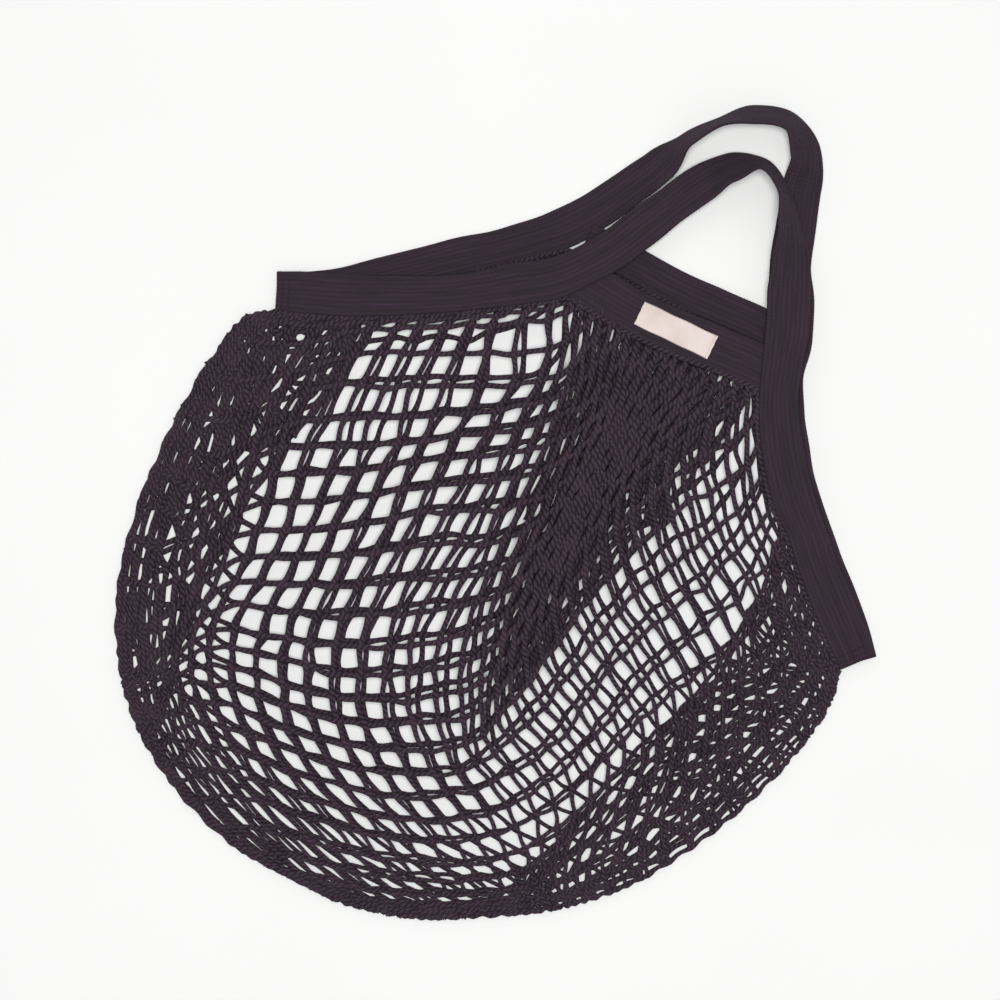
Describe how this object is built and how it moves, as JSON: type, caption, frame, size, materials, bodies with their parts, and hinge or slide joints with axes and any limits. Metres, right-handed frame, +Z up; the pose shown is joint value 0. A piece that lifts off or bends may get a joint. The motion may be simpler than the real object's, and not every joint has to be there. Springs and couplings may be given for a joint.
{
  "type": "string shopping bag",
  "caption": "Knitted cotton string shopping bag with short handles, lying flat: a net pouch edged by ribbed knit bands that rise as two handle loops.",
  "frame": {"origin": "under the middle of the bag's footprint, on the surface that it lies on", "axes": "+Z up off the surface, +Y from the bottom of the bag towards the handles, +X across the bag"},
  "size_m": [0.4032, 0.5114, 0.0291],
  "materials": {
    "string": "soft twisted cotton string, dark aubergine",
    "band": "ribbed cotton knit, dark aubergine",
    "label": "plain woven tape, pinkish cream"
  },
  "bodies": {
    "root": {"net_body": "string", "front_handle_band": "band", "back_handle_band": "band", "front_mouth_band": "band", "back_mouth_band": "band", "label": "label"}
  },
  "joints": []
}
